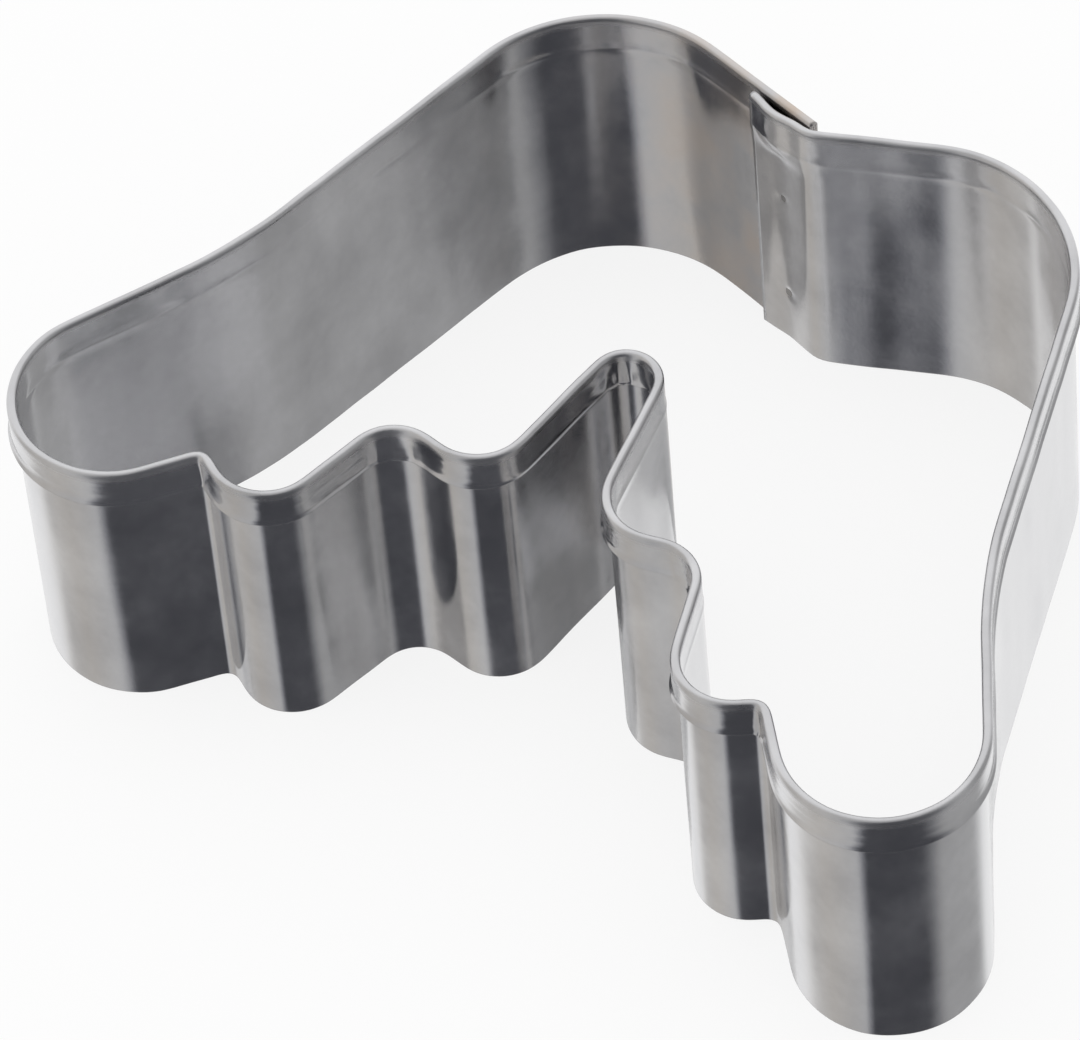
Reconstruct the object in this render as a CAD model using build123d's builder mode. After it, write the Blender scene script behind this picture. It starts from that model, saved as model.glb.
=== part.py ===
from build123d import *
from math import atan2, cos, degrees, radians, sin, sqrt
import os

# Cookie cutter in the outline of a pair of spread wings.
# One strip of thin sheet runs round the outline. The lower edge is the cutting edge,
# the upper edge is folded outwards as a pressed hem, and the ends lap in a welded seam.
# +Z up, cutting edge on z = 0, +Y towards the seam, +X across the wings, millimetres.

# sheet and hem
sheet = 0.3
wall_height = 25.0
hem_depth = 3.0
hem_gap = 0.1  # space left inside the pressed fold

# bends of one wing, from the valley between the wings round to the shoulder
valley_y = -1.95
valley_radius = 2.55
wing_bends = [
    (7.3, -9.1, 3.7, "left"),  # foot of the valley, first feather
    (10.1, -15.7, 3.35, "right"),  # first notch
    (18.3, -18.55, 3.75, "left"),  # second feather
    (21.8, -21.8, 0.9, "right"),  # second notch
    (30.0, -19.5, 6.8, "left"),  # wing tip
    (63.1, 9.4, 36.3, "right"),  # hollow of the long outer edge
    (12.4, 15.2, 11.1, "left"),  # shoulder
]

# lap seam in the dip between the shoulders
lap_angle = 15.0  # fall of the outer lap towards its end, degrees
outer_lap_end = 0.0
inner_lap_end = -5.2
lap_clearance = 0.2
dip_x = -0.7
dip_radius = 2.2

# spot welds down the middle of the lap
weld_x = -2.5
weld_radius = 0.9
weld_heights = [5.0, 15.5, 20.2]
weld_dish = 0.08
weld_clearance = 0.02

hem_reach = sheet + hem_gap  # how far the hem stands out from the wall face
lap_offset = sheet + hem_reach + lap_clearance
fold_radius = sheet + hem_gap / 2


def signed(bend):
    x, y, radius, turn = bend
    return (x, y, radius if turn == "left" else -radius)


def mirrored(bend):
    return (-bend[0], bend[1], bend[2])


# where the straight outer lap leaves the left shoulder
right_wing = [signed(bend) for bend in wing_bends]
left_wing = [mirrored(bend) for bend in reversed(right_wing)]
shoulder_x, shoulder_y, shoulder_radius = left_wing[0]
lap_way = Vector(-cos(radians(lap_angle)), sin(radians(lap_angle)))
lap_normal = Vector(-lap_way.Y, lap_way.X)  # towards the inside of the cutter
lap_tangent = Vector(shoulder_x, shoulder_y) - lap_normal * shoulder_radius


def on_lap(x, inset):
    # point of the outer lap's middle line at x, moved towards the inside by inset
    along = (x - lap_tangent.X - lap_normal.X * inset) / lap_way.X
    return lap_tangent + lap_way * along + lap_normal * inset


# centre of the bend that turns the right wing's end along the outer lap
dip_centre = on_lap(dip_x, lap_offset) - lap_normal * dip_radius
bends = left_wing + [(0, valley_y, -valley_radius)] + right_wing
bends.append((dip_centre.X, dip_centre.Y, -dip_radius))


def straight_between(first, second):
    # common tangent of two bend circles, as its two end points
    across = Vector(second[0] - first[0], second[1] - first[1])
    lean = (second[2] - first[2]) / across.length
    along = across.normalized()
    normal = along * lean + Vector(-along.Y, along.X) * sqrt(1 - lean * lean)
    leave = Vector(first[0], first[1]) - normal * first[2]
    arrive = Vector(second[0], second[1]) - normal * second[2]
    return leave, arrive


def heading(start, end):
    return degrees(atan2(end.Y - start.Y, end.X - start.X))


straights = [straight_between(bends[i], bends[i + 1]) for i in range(len(bends) - 1)]
starts = [on_lap(outer_lap_end, 0)] + [leave for leave, arrive in straights]
starts.append(on_lap(dip_x, lap_offset))
ends = [lap_tangent] + [arrive for leave, arrive in straights]
ends.append(on_lap(inner_lap_end, lap_offset))

with BuildLine() as outline:
    for i, bend in enumerate(bends):
        Line(starts[i], ends[i])
        turn = (heading(starts[i + 1], ends[i + 1]) - heading(starts[i], ends[i])) % 360
        if bend[2] < 0:
            turn -= 360
        JernArc(ends[i], ends[i] - starts[i], abs(bend[2]), turn)
    Line(starts[-1], ends[-1])

# section of the strip, x pointing out of the cutter
section_plane = Plane(origin=starts[0], x_dir=-lap_normal, z_dir=-lap_way)

# the weld axes run square through both laps
weld_planes = []
for height in weld_heights:
    middle = on_lap(weld_x, lap_offset / 2)
    weld_planes.append(Plane(origin=(middle.X, middle.Y, height), z_dir=-lap_normal))
weld_length = lap_offset + sheet

with BuildPart() as cutter_band:
    with BuildSketch(section_plane) as strip_section:
        with Locations((0, (wall_height - fold_radius) / 2)):
            Rectangle(sheet, wall_height - fold_radius)
        with Locations((hem_reach, wall_height - (hem_depth + fold_radius) / 2)):
            Rectangle(sheet, hem_depth - fold_radius)
        with BuildLine():
            fold_y = wall_height - fold_radius
            Line((-sheet / 2, fold_y), (sheet / 2, fold_y))
            ThreePointArc((sheet / 2, fold_y), (hem_reach / 2, fold_y + hem_gap / 2), (sheet / 2 + hem_gap, fold_y))
            Line((sheet / 2 + hem_gap, fold_y), (sheet / 2 + hem_gap + sheet, fold_y))
            ThreePointArc((sheet / 2 + hem_reach, fold_y), (hem_reach / 2, wall_height), (-sheet / 2, fold_y))
        make_face()
    sweep(path=outline.wires()[0])
    with Locations(*weld_planes):
        Cylinder(weld_radius + weld_clearance, weld_length + 1, mode=Mode.SUBTRACT)

with BuildPart() as spot_welds:
    with Locations(*weld_planes):
        Cylinder(weld_radius, weld_length)
    for side in (1, -1):
        faces_out = [plane.offset(side * weld_length / 2) for plane in weld_planes]
        with Locations(*faces_out):
            Cylinder(weld_radius * 0.6, weld_dish * 2, mode=Mode.SUBTRACT)

os.makedirs("parts", exist_ok=True)
cutter_band.part.label = "cutter_band"
export_step(cutter_band.part, "parts/cutter_band.step")
spot_welds.part.label = "spot_welds"
export_step(spot_welds.part, "parts/spot_welds.step")
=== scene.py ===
from math import atan2, ceil, cos, exp, pi, radians, sin, sqrt

import bpy
from mathutils import Matrix, Vector, noise


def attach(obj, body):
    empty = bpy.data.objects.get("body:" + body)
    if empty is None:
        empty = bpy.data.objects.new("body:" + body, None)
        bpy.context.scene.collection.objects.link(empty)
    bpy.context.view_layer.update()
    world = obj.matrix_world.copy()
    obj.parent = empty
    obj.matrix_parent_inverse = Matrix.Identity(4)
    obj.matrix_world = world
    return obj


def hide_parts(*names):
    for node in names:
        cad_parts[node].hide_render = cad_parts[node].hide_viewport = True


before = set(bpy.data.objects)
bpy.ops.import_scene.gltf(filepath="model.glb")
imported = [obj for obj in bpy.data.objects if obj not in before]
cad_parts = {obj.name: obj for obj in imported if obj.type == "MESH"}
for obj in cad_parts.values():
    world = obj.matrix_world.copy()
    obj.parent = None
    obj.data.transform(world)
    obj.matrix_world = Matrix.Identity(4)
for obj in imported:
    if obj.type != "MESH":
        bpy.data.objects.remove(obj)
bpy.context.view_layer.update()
print("frame loaded:", sorted(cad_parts))

mm = 0.001


def linear(hexColour):
    # sRGB hex to the linear values that the shader wants
    parts = [int(hexColour[i:i + 2], 16) / 255 for i in (1, 3, 5)]
    return tuple(p / 12.92 if p <= 0.04045 else ((p + 0.055) / 1.055) ** 2.4 for p in parts) + (1.0,)


def addNode(tree, kind, settings=None, links=None):
    # one node, its settings (attributes or input values) and what feeds its inputs
    node = tree.nodes.new(kind)
    for name, value in (settings or {}).items():
        if isinstance(name, str) and hasattr(node, name):
            setattr(node, name, value)
        else:
            node.inputs[name].default_value = value
    for name, source in (links or {}).items():
        tree.links.new(source, node.inputs[name])
    return node


def setStops(ramp, stops):
    # colour ramp from (position, hex or grey value) pairs
    elements = ramp.color_ramp.elements
    while len(elements) > len(stops):
        elements.remove(elements[-1])
    while len(elements) < len(stops):
        elements.new(1.0)
    for element, (position, value) in zip(elements, stops):
        element.position = position
        element.color = linear(value) if isinstance(value, str) else (value, value, value, 1.0)


def colourSocket(node, name):
    # the Mix node has one socket of each name for every data type
    return [s for s in list(node.inputs) + list(node.outputs) if s.name == name and s.type == "RGBA"][0]


def mixColours(tree, first, second, factor):
    node = tree.nodes.new("ShaderNodeMix")
    node.data_type = "RGBA"
    for name, value in (("A", first), ("B", second)):
        socket = colourSocket(node, name)
        if isinstance(value, bpy.types.NodeSocket):
            tree.links.new(value, socket)
        else:
            socket.default_value = value
    tree.links.new(factor, node.inputs[0])
    return colourSocket(node, "Result")


def smoothStep(low, high, value):
    t = min(1.0, max(0.0, (value - low) / (high - low)))
    return t * t * (3 - 2 * t)


# The strip, in millimetres. Each bend is the x, y and radius of its circle, and its turn.
band = {
    "sheet": 0.3,
    "wallHeight": 25.0,
    "hemDepth": 3.0,
    "hemGap": 0.1,
    "valley": (0.0, -1.95, 2.55),
    "wingBends": [
        (7.3, -9.1, 3.7, "left"),  # foot of the valley, first feather
        (10.1, -15.7, 3.35, "right"),  # first notch
        (18.3, -18.55, 3.75, "left"),  # second feather
        (21.8, -21.8, 0.9, "right"),  # second notch
        (30.0, -19.5, 6.8, "left"),  # wing tip
        (63.1, 9.4, 36.3, "right"),  # hollow of the long outer edge
        (12.4, 15.2, 11.1, "left"),  # shoulder
    ],
    "lapAngle": 15.0,
    "lapClearance": 0.2,
    "outerLapEnd": 0.0,
    "innerLapEnd": -5.2,
    "dipX": -0.7,
    "dipRadius": 2.2,
    "pathStep": 0.3,
    "softness": 0.45,  # how far a hand-made bend runs into the straight beside it
    "waviness": 0.05,  # depth of the soft dents left by bending
    "foldPower": 0.9,  # 1 would be a round fold, less is a fold pressed flat on top
    "hemPress": 0.05,  # groove that the pressed hem leaves in the wall
    "hemFlare": 0.05,  # how far the hem's raw edge stands off
    "hemLip": 0.13,  # burr of the raw edge, which catches the light as a thin line
    "lapBow": 0.30,  # how far the inner lap bows away from the outer one
    "pucker": 0.05,  # wrinkles where the hem is bent to a tight hollow
    "hemRidge": 0.018,  # lines that the folding rolls leave along the hem
    "longWave": (5.5, 30.0),  # length and height of the longer dents
    "shortWave": (2.3, 16.0),
    "shortShare": 0.6,
    "endFade": 3.0,  # the dents die out this far from the strip's ends
    "tightTurn": (0.15, 0.35),  # turn per mm at which the wrinkles start and are full
    "grooveReach": 0.28,
    "flareHeight": 0.6,
    "lipHeight": 0.22,
    "puckerPitch": 1.4,
    "puckerDrift": (5.0, 1.8),  # how far the wrinkles wander, and over what length
    "puckerFade": (2.4, 0.3),  # heights over the raw edge where the wrinkles end and are full
    "ridgeSize": (14.0, 0.32),
    "lapZone": 9.0,  # length at either end in which the laps are shaped
    "pressFade": 2.5,  # the press groove fades out this far under the hem
    "fineStep": 0.05,  # spacing of the points along the exact path
}

weld = {
    "x": -2.5,
    "heights": [5.0, 15.5, 20.2],
    "radius": 0.9,
    "dishes": [0.03, 0.01, 0.01],
    "buried": 0.03,  # the nugget lies this far below the sheet's face, but for the tip's print
    "pinchReach": 2.6,  # half width of the groove where the laps are pressed together
    "printDepths": [0.09, 0.04, 0.04],  # how deep each weld's tip presses into the sheet
    "printRadius": 0.5,
    "rowStep": 0.25,  # closer rows of the strip's mesh round each weld
    "rowCount": 5,
    "sides": 36,
}

hemReach = band["sheet"] + band["hemGap"]
lapOffset = band["sheet"] + hemReach + band["lapClearance"]


def bendList():
    # every bend along the strip, radius negative for a right turn, and the lap line
    right = [(x, y, r if turn == "left" else -r) for x, y, r, turn in band["wingBends"]]
    left = [(-x, y, r) for x, y, r in reversed(right)]
    angle = radians(band["lapAngle"])
    way = Vector((-cos(angle), sin(angle)))
    inward = Vector((-way.y, way.x))
    leave = Vector(left[0][:2]) - inward * left[0][2]

    def onLap(x, inset):
        along = (x - leave.x - inward.x * inset) / way.x
        return leave + way * along + inward * inset

    dip = onLap(band["dipX"], lapOffset) - inward * band["dipRadius"]
    x, y, r = band["valley"]
    bends = left + [(x, y, -r)] + right + [(dip.x, dip.y, -band["dipRadius"])]
    return bends, leave, onLap, way, inward


def commonTangent(first, second):
    across = Vector((second[0] - first[0], second[1] - first[1]))
    lean = (second[2] - first[2]) / across.length
    along = across.normalized()
    normal = along * lean + Vector((-along.y, along.x)) * sqrt(1 - lean * lean)
    return Vector(first[:2]) - normal * first[2], Vector(second[:2]) - normal * second[2]


def stripPath():
    # close points of the strip's middle line, from the outer to the inner lap end
    bends, leave, onLap, way, inward = bendList()
    straights = [(onLap(band["outerLapEnd"], 0), leave)]
    straights += [commonTangent(a, b) for a, b in zip(bends, bends[1:])]
    straights.append((onLap(band["dipX"], lapOffset), onLap(band["innerLapEnd"], lapOffset)))
    step = band["fineStep"]
    points = []
    for i, (start, end) in enumerate(straights):
        count = max(1, ceil((end - start).length / step))
        points += [start.lerp(end, k / count) for k in range(count)]
        if i < len(bends):
            centre = Vector(bends[i][:2])
            following = straights[i + 1]
            before = atan2((end - start).y, (end - start).x)
            after = atan2((following[1] - following[0]).y, (following[1] - following[0]).x)
            turn = (after - before) % (2 * pi)
            if bends[i][2] < 0:
                turn -= 2 * pi
            count = max(2, ceil(abs(turn * bends[i][2]) / step))
            spoke = end - centre
            for k in range(count):
                points.append(centre + Matrix.Rotation(turn * k / count, 2) @ spoke)
    points.append(straights[-1][1])
    return points, onLap, way, inward


def resample(points, step):
    lengths = [0.0]
    for a, b in zip(points, points[1:]):
        lengths.append(lengths[-1] + (b - a).length)
    count = ceil(lengths[-1] / step)
    out = []
    j = 0
    for k in range(count + 1):
        s = lengths[-1] * k / count
        while j < len(lengths) - 2 and lengths[j + 1] < s:
            j += 1
        span = lengths[j + 1] - lengths[j]
        out.append(points[j].lerp(points[j + 1], (s - lengths[j]) / span if span else 0.0))
    return out, lengths[-1] / count


def softened(points, step, reach):
    # rounds the start and end of each bend the way sheet does, keeping the strip's ends.
    # The weights stop at 2.5 times the reach.
    half = max(1, int(2.5 * reach / step))
    weights = [exp(-0.5 * (k * step / reach) ** 2) for k in range(-half, half + 1)]
    out = []
    for i, point in enumerate(points):
        room = min(half, i, len(points) - 1 - i)
        total = Vector((0.0, 0.0))
        weightSum = 0.0
        for k in range(-room, room + 1):
            total += points[i + k] * weights[k + half]
            weightSum += weights[k + half]
        out.append(total / weightSum)
    return out


def section():
    # (x out of the cutter, height, part) round the strip's cut, from the inner cutting edge.
    # The rows are closer at the cutting edge, the welds and the hem's raw edge.
    t, gap, height = band["sheet"], band["hemGap"], band["wallHeight"]
    foldRadius = t + gap / 2
    foldHeight = height - foldRadius
    hemEdge = height - band["hemDepth"]
    foldSteps, gapSteps = 16, 4
    wallRows = [0.0, 0.06, 0.2, 0.6, 1.2] + [2.0 + k * 1.25 for k in range(15)]
    near, step = weld["rowCount"], weld["rowStep"]
    clearOf = near * step + 0.15
    wallRows = [z for z in wallRows if min(abs(z - w) for w in weld["heights"]) > clearOf]
    wallRows += [w + step * k for w in weld["heights"] for k in range(-near, near + 1)]
    hemRows = [hemEdge - 0.9, hemEdge - 0.45, hemEdge - 0.2, hemEdge, hemEdge + 0.2, hemEdge + 0.45]
    hemRows += [hemEdge + 0.9, hemEdge + 1.5, hemEdge + 2.1]
    rows = sorted(z for z in wallRows if z < hemRows[0] - 0.2) + hemRows
    out = [(-t / 2, z, "inner") for z in rows]
    for k in range(foldSteps + 1):
        angle = pi - pi * k / foldSteps
        across = abs(cos(angle)) ** band["foldPower"] * (1 if k > foldSteps / 2 else -1)
        out.append((hemReach / 2 + foldRadius * across,
                    foldHeight + foldRadius * sin(angle) ** band["foldPower"], "fold"))
    flange = [hemEdge + 2.5 - 0.16 * k for k in range(13)] + [hemEdge + 0.4, hemEdge + 0.24]
    flange += [hemEdge + 0.18, hemEdge + 0.12, hemEdge + 0.07, hemEdge + 0.03, hemEdge]
    out += [(t / 2 + hemReach, z, "flange") for z in flange]
    out += [(t / 2 + gap, z, "flange") for z in reversed(flange[:-2])]
    for k in range(gapSteps + 1):
        angle = pi * k / gapSteps
        out.append((hemReach / 2 + gap / 2 * cos(angle), foldHeight + gap / 2 * sin(angle), "fold"))
    out += [(t / 2, z, "outer") for z in reversed(rows)]
    return out


def makeMesh(name, vertices, faces, uvs=None, smooth=True):
    mesh = bpy.data.meshes.new(name)
    mesh.from_pydata(vertices, [], faces)
    if uvs:
        layer = mesh.uv_layers.new(name="strip")
        for loop in mesh.loops:
            layer.data[loop.index].uv = uvs[loop.vertex_index]
    mesh.polygons.foreach_set("use_smooth", [smooth] * len(mesh.polygons))
    mesh.update()
    thing = bpy.data.objects.new(name, mesh)
    bpy.context.scene.collection.objects.link(thing)
    return thing


def buildBand():
    rough, onLap, way, inward = stripPath()
    points, step = resample(rough, band["pathStep"])
    points = softened(points, step, band["softness"])
    shape = section()
    height = band["wallHeight"]
    hemEdge = height - band["hemDepth"]
    weldOuter = onLap(weld["x"], 0)
    lapGap = lapOffset - band["sheet"]
    vertices, uvs = [], []
    count = len(points)
    length = step * (count - 1)
    # how tightly the strip turns, + for a left turn
    turns = []
    for i in range(count):
        a, b, c = points[max(0, i - 1)], points[i], points[min(count - 1, i + 1)]
        u, v = b - a, c - b
        turns.append(0.0 if u.length * v.length == 0 else u.cross(v) / (u.length * v.length) / step)
    longWave, shortWave = band["longWave"], band["shortWave"]
    drift, driftLength = band["puckerDrift"]
    ridgeLength, ridgePitch = band["ridgeSize"]
    for i, point in enumerate(points):
        ahead = (points[min(count - 1, i + 1)] - points[max(0, i - 1)]).normalized()
        outward = Vector((ahead.y, -ahead.x))
        s = i * step
        tight = smoothStep(*band["tightTurn"], -turns[i])
        nearWeld = (point - weldOuter).dot(way)
        onOuterLap = s < band["lapZone"]
        onInnerLap = s > length - band["lapZone"]
        towardOther = -1 if onOuterLap else 1
        fade = smoothStep(0, band["endFade"], s) * smoothStep(0, band["endFade"], length - s)
        # the inner lap bows away from the outer one between the dip and its own end
        alongLap = (length - s) / (band["dipX"] - band["innerLapEnd"])
        bow = band["lapBow"] * sin(pi * alongLap) ** 2 if alongLap < 1 else 0.0
        for x, z, part in shape:
            wave = noise.noise(Vector((s / longWave[0], z / longWave[1], 3.1)))
            wave += band["shortShare"] * noise.noise(Vector((s / shortWave[0], z / shortWave[1], 8.7)))
            x += band["waviness"] * wave * fade
            groove = exp(-((z - hemEdge) / band["grooveReach"]) ** 2)
            if part in ("inner", "outer"):
                x -= band["hemPress"] * groove
            if part == "flange":
                x += band["hemFlare"] * smoothStep(band["flareHeight"], 0.0, z - hemEdge)
                x += band["hemLip"] * smoothStep(band["lipHeight"], 0.0, z - hemEdge)
                wander = drift * noise.noise(Vector((s / driftLength, 0.5, 0.5)))
                ripple = sin(s * 2 * pi / band["puckerPitch"] + wander)
                x += band["pucker"] * tight * ripple * smoothStep(*band["puckerFade"], z - hemEdge)
                x += band["hemRidge"] * noise.noise(Vector((s / ridgeLength, z / ridgePitch, 5.5)))
            x -= bow
            if onOuterLap or onInnerLap:
                # the laps are pressed together along the line of the welds
                if part in ("inner", "outer"):
                    press = exp(-(nearWeld / weld["pinchReach"]) ** 2)
                    press *= smoothStep(hemEdge, hemEdge - band["pressFade"], z)
                    x += towardOther * (lapGap + bow) / 2 * press
                    x += bow / 2 * press if onInnerLap else 0.0
                # the print of each tip, only on the face that it touches
                if part == ("outer" if onOuterLap else "inner"):
                    for weldHeight, depth in zip(weld["heights"], weld["printDepths"]):
                        away = sqrt(nearWeld ** 2 + (z - weldHeight) ** 2) / weld["printRadius"]
                        x += towardOther * depth * exp(-away ** 4)
            place = point + outward * x
            vertices.append((place.x * mm, place.y * mm, z * mm))
            uvs.append((s * mm, z * mm))
    ring = len(shape)
    faces = []
    for i in range(count - 1):
        for k in range(ring):
            a, b = i * ring + k, i * ring + (k + 1) % ring
            faces.append((a, b, b + ring, a + ring))
    faces.append(tuple(reversed(range(ring))))
    faces.append(tuple(range((count - 1) * ring, count * ring)))
    thing = makeMesh("strip_band", vertices, faces, uvs)
    print("band:", count, "stations,", len(faces), "faces,", round(length, 1), "mm long")
    return thing, onLap, way, inward


# the steel's look, sizes in millimetres. A span is the part of the noise that is used.
heat = {"colour": "#c4a888", "reach": 24.0, "strength": 0.55, "span": (0.40, 0.62)}
rolling = {
    "line": (15.0, 0.12),  # length and pitch of the rolling lines
    "cloud": (6.0, 9.0),  # handling marks
    "grain": (0.3, 0.25),  # drawn coarser than real so that it shows
    "cloudSpan": (0.35, 0.70),
    "cloudDulling": (-0.03, 0.12),
    "tintSpan": (0.30, 0.70),
    "lineDulling": 0.06,
    "rimDulling": 0.16,
    "rimFrom": (24.2, 24.6),  # the folded rim starts between these heights
    "grainShare": 0.6,
    "anisotropy": 0.5,
}


def patternScale(size):
    # pattern scale from a size in millimetres along and across the strip
    return (1 / (size[0] * mm), 1 / (size[1] * mm), 1.0)


def rolledSteel(name, tint, roughness, lineDepth, heated):
    # Stainless steel sheet, cold rolled bright: a soft mirror whose fine rolling lines
    # run along the strip and blur reflections up and down the wall.
    material = bpy.data.materials.new(name)
    material.use_nodes = True
    tree = material.node_tree
    tree.nodes.clear()
    place = addNode(tree, "ShaderNodeUVMap", {"uv_map": "strip"})
    # the rolling lines run along the strip, so the blur lies across them
    grainWay = addNode(tree, "ShaderNodeTangent", {"direction_type": "UV_MAP", "uv_map": "strip"})
    lines = addNode(tree, "ShaderNodeMapping", {"Scale": patternScale(rolling["line"])},
                    {"Vector": place.outputs["UV"]})
    lineNoise = addNode(tree, "ShaderNodeTexNoise", {"Scale": 1.0, "Detail": 3.0, "Roughness": 0.6},
                        {"Vector": lines.outputs["Vector"]})
    # handling marks: clouds that are a little duller
    clouds = addNode(tree, "ShaderNodeMapping", {"Scale": patternScale(rolling["cloud"])},
                     {"Vector": place.outputs["UV"]})
    cloudNoise = addNode(tree, "ShaderNodeTexNoise", {"Scale": 1.0, "Detail": 5.0, "Roughness": 0.55},
                         {"Vector": clouds.outputs["Vector"]})
    grain = addNode(tree, "ShaderNodeMapping", {"Scale": patternScale(rolling["grain"])},
                    {"Vector": place.outputs["UV"]})
    grainNoise = addNode(tree, "ShaderNodeTexNoise", {"Scale": 1.0, "Detail": 2.0},
                         {"Vector": grain.outputs["Vector"]})
    dull = addNode(tree, "ShaderNodeMapRange", {"From Min": rolling["cloudSpan"][0],
                   "From Max": rolling["cloudSpan"][1],
                   "To Min": roughness + rolling["cloudDulling"][0],
                   "To Max": roughness + rolling["cloudDulling"][1]},
                   {"Value": cloudNoise.outputs["Fac"]})
    fine = addNode(tree, "ShaderNodeMath", {"operation": "MULTIPLY_ADD", 1: rolling["lineDulling"]},
                   {0: lineNoise.outputs["Fac"], 2: dull.outputs["Result"]})
    # the folded rim is worked metal and duller
    across = addNode(tree, "ShaderNodeSeparateXYZ", {}, {"Vector": place.outputs["UV"]})
    worked = addNode(tree, "ShaderNodeMapRange", {"From Min": rolling["rimFrom"][0] * mm,
                     "From Max": rolling["rimFrom"][1] * mm, "To Max": rolling["rimDulling"]},
                     {"Value": across.outputs["Y"]})
    gloss = addNode(tree, "ShaderNodeMath", {"operation": "ADD"},
                    {0: fine.outputs["Value"], 1: worked.outputs["Result"]})
    shade = addNode(tree, "ShaderNodeValToRGB", {}, {"Fac": cloudNoise.outputs["Fac"]})
    setStops(shade, list(zip(rolling["tintSpan"], tint)))
    colour = shade.outputs["Color"]
    if heated:
        # straw tint that the welding leaves near the seam, in the same clouds
        nearSeam = addNode(tree, "ShaderNodeMapRange",
                           {"From Min": heat["reach"] * mm, "From Max": 0.0},
                           {"Value": across.outputs["X"]})
        patchy = addNode(tree, "ShaderNodeMapRange", {"From Min": heat["span"][0],
                         "From Max": heat["span"][1], "To Max": heat["strength"]},
                         {"Value": cloudNoise.outputs["Fac"]})
        amount = addNode(tree, "ShaderNodeMath", {"operation": "MULTIPLY"},
                         {0: nearSeam.outputs["Result"], 1: patchy.outputs["Result"]})
        colour = mixColours(tree, colour, linear(heat["colour"]), amount.outputs["Value"])
    mixed = addNode(tree, "ShaderNodeMath", {"operation": "MULTIPLY_ADD", 1: rolling["grainShare"]},
                    {0: grainNoise.outputs["Fac"], 2: lineNoise.outputs["Fac"]})
    bump = addNode(tree, "ShaderNodeBump", {"Strength": 1.0, "Distance": lineDepth * mm},
                   {"Height": mixed.outputs["Value"]})
    steel = addNode(tree, "ShaderNodeBsdfPrincipled",
                    {"Metallic": 1.0, "Anisotropic": rolling["anisotropy"], "Anisotropic Rotation": 0.25},
                    {"Base Color": colour, "Roughness": gloss.outputs["Value"],
                     "Normal": bump.outputs["Normal"], "Tangent": grainWay.outputs["Tangent"]})
    addNode(tree, "ShaderNodeOutputMaterial", {}, {"Surface": steel.outputs["BSDF"]})
    return material


# the strip
bandThing, onLap, lapWay, lapInward = buildBand()
bandSteel = rolledSteel("stainless steel, cold rolled bright", tint=("#c2c2c4", "#e0e0e2"),
                        roughness=0.11, lineDepth=0.004, heated=True)
bandThing.data.materials.append(bandSteel)
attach(bandThing, "root")
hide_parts("cutter_band")


def buildWelds():
    # each nugget is a shallow dished disc through both laps, bare only in the tips' prints
    middle = onLap(weld["x"], lapOffset / 2)
    out = Vector((-lapInward.x, -lapInward.y, 0))
    along = Vector((lapWay.x, lapWay.y, 0))
    up = Vector((0, 0, 1))
    half = band["sheet"] - weld["buried"]
    # (share of the radius, share of the dish) from the middle to the edge
    shape = [(0.35, 0.95), (0.62, 0.5), (0.78, 0.0), (0.9, -0.2), (0.985, 0.15), (1.0, 0.8)]
    sides = weld["sides"]
    vertices, faces, uvs = [], [], []
    for height, dish in zip(weld["heights"], weld["dishes"]):
        profile = [(r, half - dish * depth) for r, depth in shape]
        profile += [(r, -z) for r, z in reversed(profile)]
        centre = Vector((middle.x, middle.y, height))
        first = len(vertices)
        for r, z in profile:
            for k in range(sides):
                angle = 2 * pi * k / sides
                spoke = (along * cos(angle) + up * sin(angle)) * r * weld["radius"]
                vertices.append(tuple((centre + spoke + out * z) * mm))
                uvs.append((r * cos(angle) * mm, r * sin(angle) * mm))
        for j in range(len(profile) - 1):
            for k in range(sides):
                a = first + j * sides + k
                b = first + j * sides + (k + 1) % sides
                faces.append((a, a + sides, b + sides, b))
        last = first + (len(profile) - 1) * sides
        faces.append(tuple(first + k for k in range(sides)))
        faces.append(tuple(last + k for k in reversed(range(sides))))
    return makeMesh("weld_nuggets", vertices, faces, uvs)


weldThing = buildWelds()
# melted and set again, so it is darker and duller than the sheet
weldSteel = rolledSteel("stainless steel, spot welded", tint=("#8f8d8c", "#b4b3b3"),
                        roughness=0.26, lineDepth=0.006, heated=False)
weldThing.data.materials.append(weldSteel)
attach(weldThing, "root")
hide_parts("spot_welds")
print("welds:", len(weld["heights"]))


# studio: a pale floor, a light tent of four grey and white panels, two softboxes
studio = {
    "floorSize": 6.0,
    "floorColour": "#f2f2f2",
    "floorLift": 0.85,  # how much of the floor's look is plain white to the camera
    "polish": 0.04,  # roughness of the table's polish, which only the steel shows
    "clearShare": 0.5,  # how much of the table the steel sees through
    "tentLight": 0.85,  # plain level that lights whatever isn't a mirror
    "roof": 0.55,  # grey of the tent's roof
    # four panels round the tent: compass turn where each starts and ends, and its grey.
    # 0 is -X, 0.25 is -Y, 0.5 is +X, 0.75 is +Y, and the white panel runs on past 1
    "panels": [
        (0.07, 0.25, 0.60),  # left
        (0.28, 0.45, 0.09),  # camera's side, dark
        (0.51, 0.66, 0.42),  # right
        (0.71, 1.03, 1.00),  # behind, white
    ],
    # the left panel is a little warm, the camera's side a little blue
    "tint": [
        (0.00, "#ffffff"), (0.14, "#fffaf3"), (0.25, "#ffffff"),
        (0.28, "#f0f2ff"), (0.44, "#f0f2ff"), (0.50, "#ffffff"),
    ],
    "roofEdge": (0.90, 0.97),  # upward part of the view at which the sides turn to roof
    "softboxSize": 0.45,
}


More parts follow.
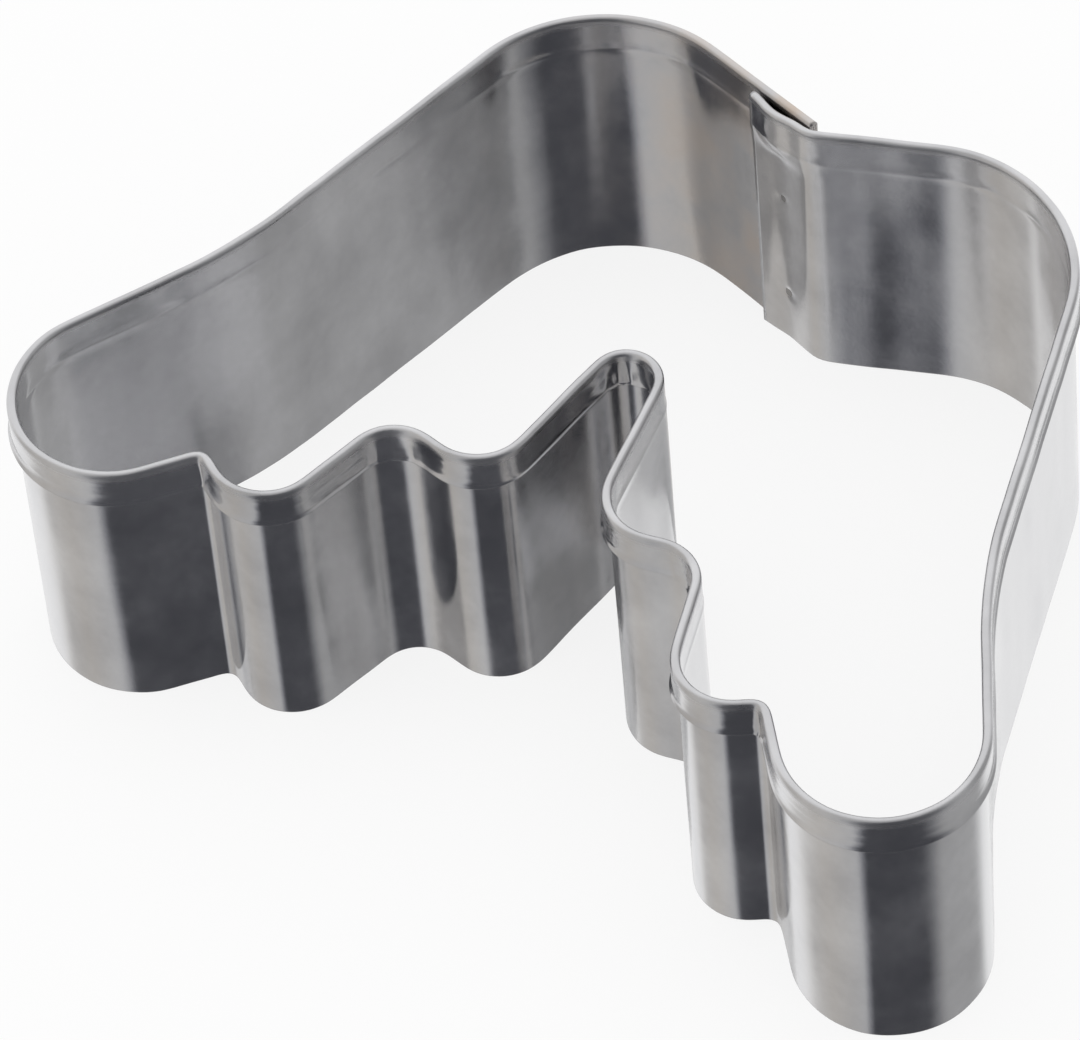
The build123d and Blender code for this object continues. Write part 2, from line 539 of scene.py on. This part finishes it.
def buildWorld():
    world = bpy.data.worlds.new("light tent")
    bpy.context.scene.world = world
    world.use_nodes = True
    tree = world.node_tree
    tree.nodes.clear()
    place = addNode(tree, "ShaderNodeTexCoord")
    axes = addNode(tree, "ShaderNodeSeparateXYZ", {}, {"Vector": place.outputs["Generated"]})
    compass = addNode(tree, "ShaderNodeMath", {"operation": "ARCTAN2"},
                      {0: axes.outputs["Y"], 1: axes.outputs["X"]})
    turn = addNode(tree, "ShaderNodeMapRange", {"From Min": -pi, "From Max": pi},
                   {"Value": compass.outputs["Value"]})
    tent = addNode(tree, "ShaderNodeValToRGB", {}, {"Fac": turn.outputs["Result"]})
    stops = []
    for start, end, grey in studio["panels"]:
        stops += [(start % 1.0, grey), (end % 1.0, grey)]
    setStops(tent, [(0.0, 1.0)] + sorted(stops))
    tint = addNode(tree, "ShaderNodeValToRGB", {}, {"Fac": turn.outputs["Result"]})
    setStops(tint, studio["tint"])
    panels = addNode(tree, "ShaderNodeVectorMath", {"operation": "MULTIPLY"},
                    {0: tent.outputs["Color"], 1: tint.outputs["Color"]})
    # the panels hang on the tent's sides, its roof is plain
    height = addNode(tree, "ShaderNodeMapRange", {"From Min": studio["roofEdge"][0],
                     "From Max": studio["roofEdge"][1]}, {"Value": axes.outputs["Z"]})
    roof = studio["roof"]
    seen = mixColours(tree, panels.outputs["Vector"], (roof, roof, roof, 1.0), height.outputs["Result"])
    light = studio["tentLight"]
    path = addNode(tree, "ShaderNodeLightPath")
    mirrored = addNode(tree, "ShaderNodeMath", {"operation": "MAXIMUM"},
                       {0: path.outputs["Is Camera Ray"], 1: path.outputs["Is Glossy Ray"]})
    shown = addNode(tree, "ShaderNodeMath", {"operation": "MAXIMUM"},
                    {0: mirrored.outputs["Value"], 1: path.outputs["Is Transmission Ray"]})
    colour = mixColours(tree, (light, light, light, 1.0), seen, shown.outputs["Value"])
    background = addNode(tree, "ShaderNodeBackground", {"Strength": 1.0}, {"Color": colour})
    addNode(tree, "ShaderNodeOutputWorld", {}, {"Surface": background.outputs["Background"]})


def buildFloor():
    # pale table top with the object's soft shadow on it
    half = studio["floorSize"] / 2
    corners = [(-half, -half, 0), (half, -half, 0), (half, half, 0), (-half, half, 0)]
    floor = makeMesh("table_sheet", corners, [(0, 1, 2, 3)], smooth=False)
    material = bpy.data.materials.new("glass over white paper")
    material.use_nodes = True
    tree = material.node_tree
    tree.nodes.clear()
    paper = addNode(tree, "ShaderNodeBsdfPrincipled", {"Base Color": linear(studio["floorColour"]),
                    "Roughness": 0.9})
    glow = addNode(tree, "ShaderNodeEmission", {"Color": (1, 1, 1, 1), "Strength": 1.0})
    path = addNode(tree, "ShaderNodeLightPath")
    seen = addNode(tree, "ShaderNodeMath", {"operation": "MULTIPLY", 1: studio["floorLift"]},
                   {0: path.outputs["Is Camera Ray"]})
    both = addNode(tree, "ShaderNodeMixShader", {}, {0: seen.outputs["Value"],
                   1: paper.outputs["BSDF"], 2: glow.outputs["Emission"]})
    # the steel sees a glass table: partly a mirror of the tent and of its own walls,
    # partly clear over the tent's cloth below
    polish = addNode(tree, "ShaderNodeBsdfAnisotropic",
                     {"Color": (1, 1, 1, 1), "Roughness": studio["polish"]})
    clear = addNode(tree, "ShaderNodeBsdfTransparent", {"Color": (1, 1, 1, 1)})
    glass = addNode(tree, "ShaderNodeMixShader", {0: studio["clearShare"]},
                    {1: polish.outputs["BSDF"], 2: clear.outputs["BSDF"]})
    mirrored = addNode(tree, "ShaderNodeMixShader", {}, {0: path.outputs["Is Glossy Ray"],
                       1: both.outputs["Shader"], 2: glass.outputs["Shader"]})
    addNode(tree, "ShaderNodeOutputMaterial", {}, {"Surface": mirrored.outputs["Shader"]})
    floor.data.materials.append(material)


def buildSoftbox(name, place, power):
    light = bpy.data.lights.new(name, "AREA")
    light.shape = "RECTANGLE"
    light.size = light.size_y = studio["softboxSize"]
    light.energy = power
    thing = bpy.data.objects.new(name, light)
    thing.location = place
    thing.rotation_euler = (Vector((0, 0, 0)) - Vector(place)).to_track_quat("-Z", "Y").to_euler()
    thing.visible_glossy = False  # the steel mirrors the tent, not the lamps behind its cloth
    bpy.context.scene.collection.objects.link(thing)


# camera: looks down on the cutter from the front right, a little rolled, with a long lens
camera = {
    "target": (-0.0044, -0.0072, 0.0125),
    "distance": 0.6303,
    "azimuth": 35.47,  # view direction, turned from +Y towards -X
    "elevation": 52.34,
    "roll": -5.57,
    "lens": 305.97,
    "sensor": 36.0,
}


def buildCamera():
    data = bpy.data.cameras.new("camera")
    data.lens = camera["lens"]
    data.sensor_width = camera["sensor"]
    data.clip_start = 0.01
    data.clip_end = 50
    turn, down, roll = (radians(camera[k]) for k in ("azimuth", "elevation", "roll"))
    forward = Vector((-sin(turn) * cos(down), cos(turn) * cos(down), -sin(down)))
    level = forward.cross(Vector((0, 0, 1))).normalized()
    upright = level.cross(forward)
    right = level * cos(roll) + upright * sin(roll)
    above = upright * cos(roll) - level * sin(roll)
    thing = bpy.data.objects.new("camera", data)
    axes = Matrix((right, above, -forward)).transposed()
    place = Vector(camera["target"]) - forward * camera["distance"]
    thing.matrix_world = Matrix.Translation(place) @ axes.to_4x4()
    bpy.context.scene.collection.objects.link(thing)
    bpy.context.scene.camera = thing


buildWorld()
buildFloor()
# both hang high over the table, for a short soft shadow
buildSoftbox("softbox left", (-0.20, 0.0, 0.9), power=1.0)
buildSoftbox("softbox back", (0.10, 0.20, 0.9), power=0.8)
buildCamera()
bpy.context.scene.view_settings.view_transform = "Standard"
print("studio and camera ready")
